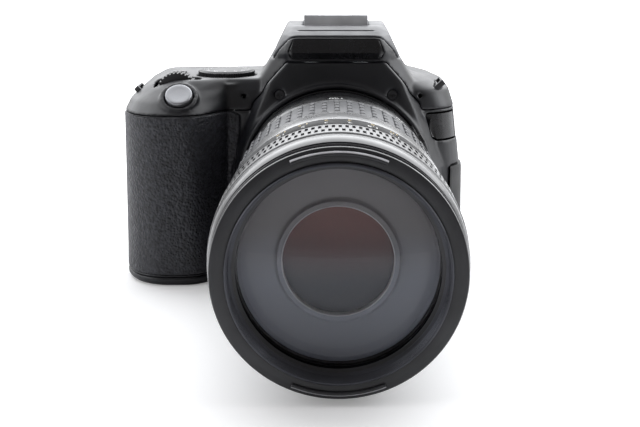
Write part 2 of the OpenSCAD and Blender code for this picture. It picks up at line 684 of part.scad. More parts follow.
module screen_frame() color("#171719") difference() {
  union() {
    front_prism(rounded(screen_x0, screen_ax - 4, screen_z0, screen_z1, 3), screen_dp - screen_t / 2, screen_dp + screen_t / 2);
    box(screen_ax - 5, screen_ax, screen_dp - screen_t / 2 + 0.4, screen_dp + screen_t / 2 - 0.4, 12, screen_z1 - 8);
    translate([screen_ax, at(screen_dp), 9]) cylinder(d = screen_t, h = screen_z1 - 14);
  }
  front_prism(rounded(screen_x0 + 3, screen_ax - 7, screen_z0 + 3, screen_z1 - 3, 1.5), screen_dp + screen_t / 2 - 1.2, 100);
}

module screen_glass() color("#0a0d10")
  front_prism(rounded(screen_x0 + 3, screen_ax - 7, screen_z0 + 3, screen_z1 - 3, 1.5),
    screen_dp + screen_t / 2 - 1.2, screen_dp + screen_t / 2 - 0.2);

module terminal_door(d0, d1) color("#131313") intersection() {
  difference() {
    envelope(-door_proud);
    envelope(door_t);
  }
  door_zone(d0, d1, 0);
}

module front_terminal_door() terminal_door(-20, 30);

module rear_terminal_door() terminal_door(32, 46);

// Lens, from the mount forward. Outlines are radius and distance ahead of the mount face.

module lens_bayonet() color("#c4c5c8") along_lens() {
  rotate_extrude() polygon([[22.6, -4.8], [25.6, -4.8], [25.6, 0], [30.4, 0], [30.4, 1.6], [22.6, 1.6]]);
  for (a = [20, 140, 260]) rotate([0, 0, a]) rotate_extrude(angle = 46)
    polygon([[25.5, -4.8], [26.9, -4.8], [26.9, -3.3], [25.5, -3.3]]);
}

module base_barrel() color("#18181a") along_lens() difference() {
  union() {
    rotate_extrude() polygon([[30.4, 0.3], [31.2, 0.3], [32.1, 3.5], [32.3, 8], [32.3, 20], [31.2, 20], [31.2, 25],
      [30.4, 25], [30.4, 5], [28.2, 5], [28.2, 62], [27, 62], [27, 10], [20, 10], [20, 8], [27, 8], [27, 1.6], [30.4, 1.6]]);
    rotate([0, 0, af_turn]) translate([31, -4.5, 5.6]) cube([2.2, 9, 12.6]);
  }
  rotate([0, 0, af_turn]) translate([31.6, -1.8, 8]) cube([4, 3.6, 8]);
}

module af_switch() color("#232325") along_lens() rotate([0, 0, af_turn]) translate([31.6 + gap, -1.8 + gap, 8 + gap]) {
  cube([2.4, 3.6 - 2 * gap, 4]);
}

module rear_group() color("#9db3c4") along_lens() intersection() {
  translate([0, 0, 6]) cylinder(r = 20, h = 6);
  translate([0, 0, 65]) sphere(r = 60);
}

module zoom_ring() color("#1a1a1c") turned([[31.5, 20.3], [32.7, 20.3], [33.1, 20.8], [33.4, zoom_t], [32.2, zoom_t], [32.2, 63.6],
  [lens_r - 1.4, 63.6], [lens_r - 1.2, 64], [lens_r - 1.2, 65.7], [30.3, 65.7], [30.3, 25.5], [31.5, 25.5]]);

module zoom_rubber() color("#121212") along_lens() difference() {
  translate([0, 0, zoom_t]) linear_extrude(63.6 - zoom_t) polygon(knurl(lens_r - 1.3, 0.9, zoom_ribs, 0.56));
  translate([0, 0, 20]) cylinder(r = 32.2, h = 50);
  for (i = [1:4]) translate([0, 0, zoom_t + (63.6 - zoom_t) * i / 5 - 0.7]) difference() {
    cylinder(r = 40, h = 1.4);
    translate([0, 0, -1]) cylinder(r = lens_r - 2.35, h = 4);
  }
}

module extension_barrel() color("#1a1a1c") turned([[28.6, 6], [29.9, 6], [29.9, 66.1], [lens_r - 1.1, 66.1], [lens_r - 1, 66.5],
  [lens_r - 1, lens_len - 31], [33.4, lens_len - 31], [33.4, 68], [30.4, 68], [30.4, lens_len - 18], [29.2, lens_len - 18],
  [29.2, 70], [28.6, 70]]);

module focus_ring() color("#1b1b1d") from_front() difference() {
  union() {
    rotate_extrude() polygon([[30, -30.6], [lens_r - 0.9, -30.6], [lens_r - 0.9, -14.6], [lens_r - 0.4, -14.2],
      [lens_r - 0.5, -10], [lens_r - 0.8, -8], [lens_r - 1.3, -7], [30, -7]]);
    translate([0, 0, -27.6]) linear_extrude(6) polygon(knurl(lens_r, 0.7, focus_notches, 0.56));
    rotate([0, 0, 180 / focus_notches]) translate([0, 0, -21.1]) linear_extrude(6) polygon(knurl(lens_r, 0.7, focus_notches, 0.56));
  }
  translate([0, 0, -40]) cylinder(r = 30.8, h = 50);
}

module front_cell() color("#111112") from_front() {
  rotate_extrude() polygon([[26.9, -24], [28.8, -24], [28.8, -6.6], [lens_r - 1.5, -6.6], [lens_r - 1.3, -6.2],
    [lens_r - 1.3, -4.6], [lens_r - 1.7, -4.4], [lens_r - 1.7, -3.8], [hood_r, -3.6], [hood_r, -1.9], [hood_r - 0.4, -1.3],
    [hood_r - 1.1, -1.1], [filter_d / 2 + 0.8, -1.1], [filter_d / 2 + 0.8, -0.3], [filter_d / 2 + 0.5, 0],
    [filter_d / 2, 0], [filter_d / 2, -5.4], [27.4, -6], [26, -7], [26, -8], [26.9, -8.3]]);
  for (a = [65, 245]) rotate([0, 0, a]) rotate_extrude(angle = 50)
    polygon([[filter_d / 2 + 0.6, -1.3], [filter_d / 2 + 1.5, -1.3], [filter_d / 2 + 1.5, -0.5], [filter_d / 2 + 1.2, -0.15],
      [filter_d / 2 + 0.6, -0.15]]);
}

module front_element() color("#8fa6c0") from_front() intersection() {
  translate([0, 0, -13.4]) cylinder(r = 26.9, h = 20);
  translate([0, 0, -5.6 - 110]) sphere(r = 110);
}

module front_baffle() color("#202022") from_front() rotate_extrude() polygon([[15.4, -23.8], [17.4, -23.8], [17.4, -19.6],
  [26.9, -19.6], [26.9, -17.6], [17.2, -18.2], [16.9, -16.7], [15.4, -16.7]]);

module inner_glass() color("#7a6a66") from_front() intersection() {
  translate([0, 0, -23]) cylinder(r = 15.4, h = 10);
  translate([0, 0, -17.6 - 60]) sphere(r = 60);
}

front_cover();
top_cover();
rear_cover();
bottom_cover();
grip_rubber();
front_plates();
screws();
strap_lugs();
hot_shoe();
eyecup();
eyepiece_lens();
tripod_bush();
lens_mount_ring();
mirror_box();
reflex_mirror();
focusing_screen();
pentamirror();
shutter_frame();
shutter_curtain();
image_sensor();
main_board();
battery_pack();
battery_door();
flash_head();
flash_window();
flash_pin();
shutter_button();
main_dial();
mode_dial();
power_lever();
iso_button();
menu_button();
info_button();
live_view_button();
lock_button();
af_point_button();
exposure_button();
set_button();
cross_keys();
playback_button();
erase_button();
dioptre_knob();
screen_frame();
screen_glass();
front_terminal_door();
rear_terminal_door();
lens_release_button();
lens_bayonet();
base_barrel();
af_switch();
rear_group();
zoom_ring();
zoom_rubber();
extension_barrel();
focus_ring();
front_cell();
front_element();
front_baffle();
inner_glass();
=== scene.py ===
import bmesh
import bpy
from math import atan2, cos, pi, radians, sin, sqrt
from mathutils import Matrix, Vector


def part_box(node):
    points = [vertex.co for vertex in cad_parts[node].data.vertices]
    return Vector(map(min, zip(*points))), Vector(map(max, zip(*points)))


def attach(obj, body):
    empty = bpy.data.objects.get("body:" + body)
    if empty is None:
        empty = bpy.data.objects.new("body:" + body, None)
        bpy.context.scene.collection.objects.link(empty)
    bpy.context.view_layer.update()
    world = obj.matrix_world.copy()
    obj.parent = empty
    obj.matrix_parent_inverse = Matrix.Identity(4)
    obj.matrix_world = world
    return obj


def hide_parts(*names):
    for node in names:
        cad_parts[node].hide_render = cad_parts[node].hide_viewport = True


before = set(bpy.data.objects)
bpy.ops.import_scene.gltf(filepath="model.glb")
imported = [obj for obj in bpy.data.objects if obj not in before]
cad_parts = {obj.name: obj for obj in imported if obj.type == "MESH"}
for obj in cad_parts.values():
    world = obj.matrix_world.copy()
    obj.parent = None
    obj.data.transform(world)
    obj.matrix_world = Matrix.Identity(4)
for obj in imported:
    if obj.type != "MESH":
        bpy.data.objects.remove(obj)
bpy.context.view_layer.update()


# Front, top, rear and bottom covers.
# Four thin shells moulded in black glass-filled polycarbonate, with a fine satin grain from the mould.
# Screws from below and behind draw them together, and the moulded edges leave a thin seam where they meet.

MM = 0.001


def made_finish(name, tone, rough, **sockets):
    made = bpy.data.materials.new(name)
    made.use_nodes = True
    shader = made.node_tree.nodes["Principled BSDF"]
    shader.inputs["Base Color"].default_value = (*tone, 1)
    shader.inputs["Roughness"].default_value = rough
    for socket, value in sockets.items():
        shader.inputs[socket.replace("_", " ")].default_value = value
    return made


def speckle(made, scale, detail=2.0):
    tree = made.node_tree
    place = tree.nodes.new("ShaderNodeTexCoord")
    noise = tree.nodes.new("ShaderNodeTexNoise")
    noise.inputs["Scale"].default_value = scale
    noise.inputs["Detail"].default_value = detail
    tree.links.new(place.outputs["Object"], noise.inputs["Vector"])
    return noise.outputs[0]


def toned(made, dark, light, scale):
    tree = made.node_tree
    ramp = tree.nodes.new("ShaderNodeValToRGB")
    ramp.color_ramp.elements[0].position = 0.34
    ramp.color_ramp.elements[0].color = (*dark, 1)
    ramp.color_ramp.elements[1].position = 0.66
    ramp.color_ramp.elements[1].color = (*light, 1)
    tree.links.new(speckle(made, scale), ramp.inputs[0])
    tree.links.new(ramp.outputs[0], tree.nodes["Principled BSDF"].inputs["Base Color"])


def rubbed(made, low, high, scale):
    tree = made.node_tree
    span = tree.nodes.new("ShaderNodeMapRange")
    span.inputs["From Min"].default_value = 0.3
    span.inputs["From Max"].default_value = 0.7
    span.inputs["To Min"].default_value = low
    span.inputs["To Max"].default_value = high
    tree.links.new(speckle(made, scale, 3), span.inputs["Value"])
    tree.links.new(span.outputs[0], tree.nodes["Principled BSDF"].inputs["Roughness"])


def raised(made, height, depth, strength):
    tree = made.node_tree
    bump = tree.nodes.new("ShaderNodeBump")
    bump.inputs["Strength"].default_value = strength
    bump.inputs["Distance"].default_value = depth
    tree.links.new(height, bump.inputs["Height"])
    tree.links.new(bump.outputs[0], tree.nodes["Principled BSDF"].inputs["Normal"])


def moulded(name, tone, rough, grain, depth, **sockets):
    made = made_finish(name, tone, rough, **sockets)
    toned(made, [value * 0.82 for value in tone], [value * 1.2 for value in tone], 90)
    rubbed(made, rough - 0.05, rough + 0.06, 160)
    raised(made, speckle(made, 1 / grain, 3), depth, 0.5)
    return made


def piece_of(name, shape):
    mesh = bpy.data.meshes.new(name)
    shape.to_mesh(mesh)
    shape.free()
    mesh.shade_smooth()
    mesh.set_sharp_from_angle(angle=radians(36))
    piece = bpy.data.objects.new(name, mesh)
    bpy.context.scene.collection.objects.link(piece)
    return piece


def settled(piece):
    graph = bpy.context.evaluated_depsgraph_get()
    mesh = bpy.data.meshes.new_from_object(piece.evaluated_get(graph))
    plain = piece.data
    piece.modifiers.clear()
    piece.data = mesh
    bpy.data.meshes.remove(plain)
    mesh.name = piece.name
    return piece


def copied(node):
    shape = bmesh.new()
    shape.from_mesh(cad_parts[node].data)
    bmesh.ops.remove_doubles(shape, verts=shape.verts, dist=0.002 * MM)
    return shape


def cast(name, node, voxel, passes):
    piece = piece_of(name, copied(node))
    skin = piece.modifiers.new("skin", "REMESH")
    skin.mode = "VOXEL"
    skin.voxel_size = voxel
    skin.use_smooth_shade = True
    ease = piece.modifiers.new("ease", "SMOOTH")
    ease.factor = 0.5
    ease.iterations = passes
    return settled(piece)


def fit(piece, body, slot, made, *nodes):
    piece.data.materials.clear()
    piece.data.materials.append(made)
    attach(piece, body)
    if nodes:
        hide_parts(*nodes)
    return piece


COVER_BLACK = (0.0083, 0.0087, 0.0114)
cover_plastic = moulded("cover_plastic", COVER_BLACK, 0.42, 0.32 * MM, 0.03 * MM)
COVER_VOXELS = {"front_cover": 0.56, "top_cover": 0.56, "rear_cover": 0.6, "bottom_cover": 0.6}
for cover, voxel in COVER_VOXELS.items():
    fit(cast(cover + "_shell", cover, voxel * MM, 6), "camera", "body_plastic", cover_plastic, cover)


# Microphone ports beside the finder hump.
# Small moulded cups pressed into the front of the top cover, one on each side. Their near-black,
# unreflecting inside is painted shade standing in for the dark of the holes.

MERGE = 0.0005 * MM


def spun(outline, centre, axis, steps=96, ease=0.0):
    shape = bmesh.new()
    rim = [shape.verts.new((radius * MM, 0, along * MM)) for radius, along in outline]
    wires = [shape.edges.new(pair) for pair in zip(rim, rim[1:] + rim[:1])]
    bmesh.ops.spin(shape, geom=rim + wires, cent=(0, 0, 0), axis=(0, 0, 1), angle=2 * pi, steps=steps,
                   use_merge=True)
    bmesh.ops.remove_doubles(shape, verts=shape.verts, dist=MERGE)
    bmesh.ops.dissolve_degenerate(shape, dist=MERGE, edges=shape.edges)
    bmesh.ops.recalc_face_normals(shape, faces=shape.faces)
    if ease:
        rings = [edge for edge in shape.edges if len(edge.link_faces) == 2
                 and edge.calc_face_angle() > radians(24)
                 and abs(edge.verts[0].co.z - edge.verts[1].co.z) < 0.001 * MM]
        bmesh.ops.bevel(shape, geom=rings, offset=ease * MM, offset_type="OFFSET", affect="EDGES",
                        segments=2, profile=0.5, material=-1, clamp_overlap=True)
    turn = Vector(axis).to_track_quat("Z", "Y").to_matrix().to_4x4()
    shape.transform(Matrix.Translation(Vector(centre) * MM) @ turn)
    return shape


PORT_R = 0.62
PORT_CUP = ((0, 0.0), (PORT_R, 0.0), (PORT_R, 0.5), (PORT_R - 0.12, 0.55), (PORT_R - 0.16, 0.1), (0, 0.1))
PORT_SEATS = ((-32.4, -13.4, 65.0), (29.6, -13.4, 65.0))
# Near-black with no reflection: painted shade, used for the port holes and for the gap round the far plate.
painted_hollow_shade = moulded("painted_hollow_shade", (0.002, 0.002, 0.002), 0.8, 0.2 * MM, 0.02 * MM,
                     Specular_IOR_Level=0.0)
for number, seat in enumerate(PORT_SEATS):
    port = piece_of("mic_port_%d" % number, spun(PORT_CUP, seat, (0, -1, 0), 24))
    fit(port, "camera", "inner_plastic", painted_hollow_shade)


# Grip rubber and thumb pad.
# A skin of soft black elastomer with a moulded leather grain, bonded into a shallow bed in the covers.

def leathered(made, cell, depth):
    tree = made.node_tree
    place = tree.nodes.new("ShaderNodeTexCoord")
    wander = tree.nodes.new("ShaderNodeTexNoise")
    wander.inputs["Scale"].default_value = 0.6 / cell
    wander.inputs["Detail"].default_value = 2
    drift = tree.nodes.new("ShaderNodeVectorMath")
    drift.operation = "MULTIPLY_ADD"
    drift.inputs[1].default_value = (cell * 0.9, cell * 0.9, cell * 0.9)
    cells = tree.nodes.new("ShaderNodeTexVoronoi")
    cells.feature = "SMOOTH_F1"
    cells.inputs["Scale"].default_value = 1 / cell
    cells.inputs["Smoothness"].default_value = 0.6
    tree.links.new(place.outputs["Object"], wander.inputs["Vector"])
    tree.links.new(wander.outputs["Color"], drift.inputs[0])
    tree.links.new(place.outputs["Object"], drift.inputs[2])
    tree.links.new(drift.outputs[0], cells.inputs["Vector"])
    bump = tree.nodes.new("ShaderNodeBump")
    bump.invert = True
    bump.inputs["Strength"].default_value = 0.9
    bump.inputs["Distance"].default_value = depth
    tree.links.new(cells.outputs["Distance"], bump.inputs["Height"])
    tree.links.new(bump.outputs[0], tree.nodes["Principled BSDF"].inputs["Normal"])


GRIP_BLACK = (0.018, 0.0186, 0.0238)
grip_rubber_finish = made_finish("grip_rubber_finish", GRIP_BLACK, 0.5)
toned(grip_rubber_finish, (0.0115, 0.0118, 0.015), (0.03, 0.031, 0.039), 700)
rubbed(grip_rubber_finish, 0.44, 0.58, 500)
leathered(grip_rubber_finish, 0.9 * MM, 0.4 * MM)
fit(cast("grip_skin", "grip_rubber", 0.42 * MM, 4), "camera", "rubber", grip_rubber_finish, "grip_rubber")


# Bare plates over the lens and on the far side.
# Two smooth black inserts pressed into beds in the covers and left plain.
# The one on the far side has a flat band round its edge painted near-black: painted shade standing in for
# the gap, which is not cut into the shape.

def flattened(node):
    shape = copied(node)
    bmesh.ops.dissolve_limit(shape, angle_limit=radians(1), verts=shape.verts, edges=shape.edges)
    return shape


SHADE_BAND_WIDE = 0.7
FAR_SIDE_X = 20
plate_black = moulded("plate_black", (0.007, 0.007, 0.0085), 0.26, 0.5 * MM, 0.008 * MM)
plate_shape = flattened("front_plates")
far_plate = [face for face in plate_shape.faces
             if face.calc_center_median().x > FAR_SIDE_X * MM and face.normal.y < -0.25]
shade_band = bmesh.ops.inset_region(plate_shape, faces=far_plate, thickness=SHADE_BAND_WIDE * MM, use_even_offset=True)
plate_shape.faces.index_update()
shade_band_faces = [face.index for face in shade_band["faces"]]
plates = piece_of("bare_plates", plate_shape)
fit(plates, "camera", "gloss_panel", plate_black, "front_plates")
# The flat band faces take the painted hollow shade.
plates.data.materials.append(painted_hollow_shade)
for index in shade_band_faces:
    plates.data.polygons[index].material_index = 1


# Screws, strap lugs and tripod bush.
# Black-passivated cross-head screws, two pressed steel lugs let into the shoulders,
# and a turned steel bush in the base.

def edged(piece, width, angle, sections):
    edge = piece.modifiers.new("edges", "BEVEL")
    edge.width = width * MM
    edge.segments = sections
    edge.limit_method = "ANGLE"
    edge.angle_limit = radians(angle)
    return edge


def eased(name, node, width, angle=34, sections=2):
    piece = piece_of(name, flattened(node))
    edged(piece, width, angle, sections).harden_normals = True
    return piece


screw_steel = moulded("screw_steel", (0.045, 0.045, 0.048), 0.38, 0.12 * MM, 0.01 * MM, Metallic=0.7)
fit(eased("cover_screws", "screws", 0.1), "camera", "black_steel", screw_steel, "screws")
lug_steel = moulded("lug_steel", (0.06, 0.06, 0.063), 0.4, 0.25 * MM, 0.02 * MM, Metallic=0.5)
lugs = eased("strap_lug_pair", "strap_lugs", 0.35, sections=3)
fit(lugs, "camera", "black_steel", lug_steel, "strap_lugs")
bush_steel = moulded("bush_steel", (0.52, 0.51, 0.48), 0.3, 0.2 * MM, 0.012 * MM, Metallic=1.0)
fit(eased("tripod_socket_bush", "tripod_bush", 0.12), "camera", "steel", bush_steel, "tripod_bush")


# Hot shoe.
# A folded steel shoe with two overhanging rails, and five sprung contacts in its floor.

# The shoe's pale grey is partly the steel's own colour and partly a painted highlight for its bright front.
shoe_steel_and_painted_highlight = moulded("shoe_steel_and_painted_highlight", (0.66, 0.67, 0.695), 0.42, 0.3 * MM, 0.006 * MM, Metallic=0.15)
fit(eased("shoe_rails", "hot_shoe", 0.3, sections=3), "camera", "black_steel", shoe_steel_and_painted_highlight, "hot_shoe")
contact_gilt = moulded("contact_gilt", (0.6, 0.47, 0.24), 0.25, 0.2 * MM, 0.006 * MM, Metallic=1.0)
MAIN_CONTACT_R = 1.5
SMALL_CONTACT_R = 0.8
CONTACT_STATIONS = ((0, 8.0), (-4.2, 12.6), (-1.4, 12.6), (1.4, 12.6), (4.2, 12.6))
SHOE_FLOOR = 88.8
contacts = bmesh.new()
for across, back in CONTACT_STATIONS:
    radius = MAIN_CONTACT_R if across == 0 else SMALL_CONTACT_R
    stud_outline = ((0, 0.35), (radius * 0.7, 0.3), (radius, 0.05), (radius, -0.3), (0, -0.3))
    stud = spun(stud_outline, (across, back, SHOE_FLOOR), (0, 0, 1), 24)
    stud_mesh = bpy.data.meshes.new("stud")
    stud.to_mesh(stud_mesh)
    stud.free()
    contacts.from_mesh(stud_mesh)
    bpy.data.meshes.remove(stud_mesh)
fit(piece_of("shoe_contacts", contacts), "camera", "steel", contact_gilt)


# Eyecup and eyepiece.
# A soft rubber cup pushed over the finder frame, round a coated glass window.

cup_rubber = moulded("cup_rubber", (0.011, 0.011, 0.011), 0.62, 0.35 * MM, 0.04 * MM)
fit(cast("eye_cup", "eyecup", 0.4 * MM, 5), "camera", "rubber", cup_rubber, "eyecup")
window_glass = made_finish("window_glass", (0.9, 0.94, 0.95), 0.03, Transmission_Weight=1.0, IOR=1.5)
rubbed(window_glass, 0.015, 0.05, 60)
window = eased("finder_window", "eyepiece_lens", 0.15, 50)
fit(window, "camera", "optical_glass", window_glass, "eyepiece_lens")


# Inside of the body: mount ring, mirror box, finder, shutter, sensor, board and battery.
# Matt black mouldings and stamped metal, screwed to the chassis behind the lens mount.
# The mount ring is chromed brass with a blacked outer edge.

AXIS_TALL = 36
BLACKED_R = 30.6


def carry(node, made):
    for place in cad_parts[node].material_slots:
        place.material = made


def blacked_edge(made, radius):
    tree = made.node_tree
    shader = tree.nodes["Principled BSDF"]
    place = tree.nodes.new("ShaderNodeTexCoord")
    away = tree.nodes.new("ShaderNodeVectorMath")
    away.operation = "MULTIPLY_ADD"
    away.inputs[1].default_value = (1, 0, 1)
    away.inputs[2].default_value = (0, 0, -AXIS_TALL * MM)
    reach = tree.nodes.new("ShaderNodeVectorMath")
    reach.operation = "LENGTH"
    edge = tree.nodes.new("ShaderNodeMath")
    edge.operation = "GREATER_THAN"
    edge.inputs[1].default_value = radius * MM
    bare = tree.nodes.new("ShaderNodeMath")
    bare.operation = "SUBTRACT"
    bare.inputs[0].default_value = 1
    coat = tree.nodes.new("ShaderNodeMix")
    coat.data_type = "RGBA"
    coat.inputs["B"].default_value = (0.006, 0.006, 0.007, 1)
    tree.links.new(shader.inputs["Base Color"].links[0].from_socket, coat.inputs["A"])
    tree.links.new(place.outputs["Object"], away.inputs[0])
    tree.links.new(away.outputs[0], reach.inputs[0])
    tree.links.new(reach.outputs["Value"], edge.inputs[0])
    tree.links.new(edge.outputs[0], bare.inputs[1])
    tree.links.new(edge.outputs[0], coat.inputs["Factor"])
    tree.links.new(coat.outputs["Result"], shader.inputs["Base Color"])
    tree.links.new(bare.outputs[0], shader.inputs["Metallic"])


mount_chrome = moulded("mount_chrome", (0.62, 0.61, 0.59), 0.26, 0.15 * MM, 0.006 * MM,
                       Specular_IOR_Level=0.1)
blacked_edge(mount_chrome, BLACKED_R)
flocked_black = moulded("flocked_black", (0.006, 0.006, 0.006), 0.85, 0.15 * MM, 0.03 * MM)
ground_glass = moulded("ground_glass", (0.62, 0.63, 0.6), 0.6, 0.08 * MM, 0.01 * MM)
mirror_silver = moulded("mirror_silver", (0.86, 0.87, 0.88), 0.06, 0.9 * MM, 0.001 * MM, Metallic=1.0)
finder_grey = moulded("finder_grey", (0.03, 0.031, 0.034), 0.5, 0.3 * MM, 0.02 * MM)
curtain_foil = moulded("curtain_foil", (0.02, 0.02, 0.022), 0.45, 0.25 * MM, 0.015 * MM)
sensor_glass = moulded("sensor_glass", (0.02, 0.045, 0.04), 0.12, 0.6 * MM, 0.002 * MM)
board_green = moulded("board_green", (0.012, 0.07, 0.035), 0.4, 0.5 * MM, 0.03 * MM)
battery_grey = moulded("battery_grey", (0.05, 0.05, 0.055), 0.45, 0.3 * MM, 0.02 * MM)
INSIDE = {"lens_mount_ring": mount_chrome, "mirror_box": flocked_black, "reflex_mirror": mirror_silver,
          "focusing_screen": ground_glass, "pentamirror": finder_grey, "shutter_frame": flocked_black,
          "shutter_curtain": curtain_foil, "image_sensor": sensor_glass, "main_board": board_green,
          "battery_pack": battery_grey}
for node, made in INSIDE.items():
    carry(node, made)


# Flash head with its window and hinge pin.
# A moulded hood over the finder hump that swings up on a steel pin,
# with a ribbed clear window under its lip.

# The hood is the same black plastic as the covers. Its tone is set several times lighter as painted light,
# standing in for the light falling on its top.
flash_plastic_painted_light = moulded("flash_plastic_painted_light", (0.058, 0.0595, 0.066), 0.42, 0.32 * MM, 0.006 * MM)
fit(cast("flash_hood", "flash_head", 0.36 * MM, 5), "flash", "body_plastic", flash_plastic_painted_light, "flash_head")
flash_lens = moulded("flash_lens", (0.8, 0.8, 0.78), 0.2, 0.9 * MM, 0.12 * MM, Transmission_Weight=0.5)
fit(eased("flash_tube_window", "flash_window", 0.2), "flash", "frosted", flash_lens, "flash_window")
carry("flash_pin", bush_steel)


# Shutter button.
# A turned aluminium cap, dished and lathe spun on top, on a plunger in the sloping front of the grip.

BUTTON_SEAT = (-54.2, -23.14, 65.8)
BUTTON_AXIS = (0, -0.6455, 0.7638)
BUTTON_CAP = ((0, 1.84), (1.6, 1.85), (3.0, 1.89), (3.9, 1.96), (4.3, 1.92), (4.58, 1.7), (4.7, 1.3),
              (4.7, -1.0), (4.0, -1.0), (4.0, -4.0), (0, -4.0))
RINGS_PER_PITCH = 0.314


def lathe_marked(made, centre, axis, pitch, depth):
    tree = made.node_tree
    turn = Vector(axis).to_track_quat("Z", "Y").inverted()
    place = tree.nodes.new("ShaderNodeTexCoord")
    seat = tree.nodes.new("ShaderNodeMapping")
    seat.inputs["Rotation"].default_value = turn.to_euler()
    seat.inputs["Location"].default_value = -(turn @ (Vector(centre) * MM))
    rings = tree.nodes.new("ShaderNodeTexWave")
    rings.wave_type = "RINGS"
    rings.rings_direction = "Z"
    rings.inputs["Scale"].default_value = RINGS_PER_PITCH / pitch
    rings.inputs["Distortion"].default_value = 1.5
    rings.inputs["Detail"].default_value = 2
    tree.links.new(place.outputs["Object"], seat.inputs["Vector"])
    tree.links.new(seat.outputs[0], rings.inputs["Vector"])
    raised(made, rings.outputs["Fac"], depth, 0.4)


cap_aluminium = made_finish("cap_aluminium", (0.3, 0.305, 0.32), 0.44, Metallic=0.9)
rubbed(cap_aluminium, 0.38, 0.46, 900)
lathe_marked(cap_aluminium, BUTTON_SEAT, BUTTON_AXIS, 0.16 * MM, 0.006 * MM)
cap = piece_of("shutter_cap", spun(BUTTON_CAP, BUTTON_SEAT, BUTTON_AXIS, 96, 0.08))
fit(cap, "shutter_button", "spun_metal", cap_aluminium, "shutter_button")


# Main dial, mode dial and power lever.
# Moulded black wheels with a milled edge. The mode dial has white marks printed on its crown.

dial_plastic = moulded("dial_plastic", (0.022, 0.022, 0.024), 0.44, 0.25 * MM, 0.01 * MM)
DIAL_EDGES = (("main_wheel", "main_dial", 0.09), ("mode_wheel", "mode_dial", 0.09),
              ("power_tongue", "power_lever", 0.25))
for name, dial, edge in DIAL_EDGES:
    fit(eased(name, dial, edge), dial, "control_plastic", dial_plastic, dial)
print_white = moulded("print_white", (0.75, 0.75, 0.74), 0.5, 0.2 * MM, 0.004 * MM)


def lettered(shape, words, tall, place):
    setting = bpy.data.curves.new("setting", "FONT")
    setting.body = words
    setting.size = tall * MM
    setting.align_x = "CENTER"
    setting.align_y = "CENTER"
    setting.resolution_u = 3
    sorts = bpy.data.objects.new("setting", setting)
    bpy.context.scene.collection.objects.link(sorts)
    graph = bpy.context.evaluated_depsgraph_get()
    printed = bpy.data.meshes.new_from_object(sorts.evaluated_get(graph))
    for corner in printed.vertices:
        corner.co = place(corner.co)
    shape.from_mesh(printed)
    bpy.data.objects.remove(sorts)
    bpy.data.curves.remove(setting)
    bpy.data.meshes.remove(printed)


def laid(centre, turn):
    return Matrix.Translation(centre) @ Matrix.Rotation(turn, 4, "Z")


INK_THICK = 0.03
MODE_MARKS = ("M", "1", "2", "3", "4", "A", "+", "5", "6", "7", "8", "P")
MODE_MARK_R = 7.2
MODE_MARK_TALL = 2.5
low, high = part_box("mode_dial")
mode_centre = Vector(((low[0] + high[0]) / 2, (low[1] + high[1]) / 2, high[2] + INK_THICK * MM))
mode_print = bmesh.new()
for step, mark in enumerate(MODE_MARKS):
    turn = 2 * pi * step / len(MODE_MARKS)
    reach = Matrix.Rotation(turn, 4, "Z") @ Vector((0, MODE_MARK_R * MM, 0))
    seat = laid(mode_centre + reach, turn)
    lettered(mode_print, mark, MODE_MARK_TALL, lambda corner: seat @ corner)
fit(piece_of("mode_marks", mode_print), "mode_dial", "control_plastic", print_white)


# Press keys on the back and top, the cross keys, the set key and the dioptre knob.
# Small moulded caps on rubber domes, each with a printed white mark, in clearance holes in the covers.

key_plastic = moulded("key_plastic", (0.013, 0.013, 0.014), 0.38, 0.22 * MM, 0.015 * MM)
REAR_KEYS = {"menu_button": "=", "info_button": "i", "live_view_button": "o", "lock_button": "*",
             "af_point_button": "+", "exposure_button": "-", "playback_button": ">", "erase_button": "x"}
KEY_MARK_TALL = 3.6
for key, mark in REAR_KEYS.items():
    fit(eased(key + "_cap", key, 0.28, sections=3), key, "control_plastic", key_plastic, key)
    low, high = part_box(key)
    centre = Vector(((low[0] + high[0]) / 2, high[1] + INK_THICK * MM, (low[2] + high[2]) / 2))
    sign = bmesh.new()
    lettered(sign, mark, KEY_MARK_TALL, lambda corner: centre + Vector((-corner.x, 0, corner.y)))
    fit(piece_of(key + "_mark", sign), key, "control_plastic", print_white)
PLAIN_KEYS = (("cross_key_ring", "cross_keys", 0.2), ("set_key", "set_button", 0.3),
              ("iso_key", "iso_button", 0.25))
for name, key, edge in PLAIN_KEYS:
    fit(eased(name, key, edge, sections=3), key, "control_plastic", key_plastic, key)
knob = eased("dioptre_wheel", "dioptre_knob", 0.08)
fit(knob, "dioptre_knob", "control_plastic", dial_plastic, "dioptre_knob")


# Hinged screen.
# A moulded frame on a vertical hinge, with a bonded cover glass over the display.

screen_plastic = moulded("screen_plastic", (0.01, 0.01, 0.011), 0.4, 0.3 * MM, 0.025 * MM)
screen_back = eased("screen_back", "screen_frame", 0.4, sections=3)
fit(screen_back, "screen", "body_plastic", screen_plastic, "screen_frame")
display_glass = moulded("display_glass", (0.004, 0.0045, 0.006), 0.08, 2.0 * MM, 0.0008 * MM,
                        Coat_Weight=0.6)
cover_glass = eased("screen_cover_glass", "screen_glass", 0.15)
fit(cover_glass, "screen", "gloss_panel", display_glass, "screen_glass")


# Battery door, terminal doors and lens release.
# A sprung plastic door in the base, two soft rubber doors in the far side, and a moulded push button.

door_rubber = moulded("door_rubber", (0.012, 0.012, 0.0125), 0.56, 0.3 * MM, 0.03 * MM)
base_door = eased("base_door", "battery_door", 0.3, sections=3)
fit(base_door, "battery_door", "body_plastic", cover_plastic, "battery_door")
for door in ("front_terminal_door", "rear_terminal_door"):
    fit(eased(door + "_flap", door, 0.45, 30, 3), door, "rubber", door_rubber, door)
release_key = eased("release_key", "lens_release_button", 0.5, sections=3)
fit(release_key, "lens_release_button", "control_plastic", key_plastic, "lens_release_button")


# Lens bayonet, base barrel, focus switch and rear glass.
# A black moulded bayonet under a barrel that stays with the body, with a slide switch on its side.
# The coated rear glass is cemented in the back of the barrel.

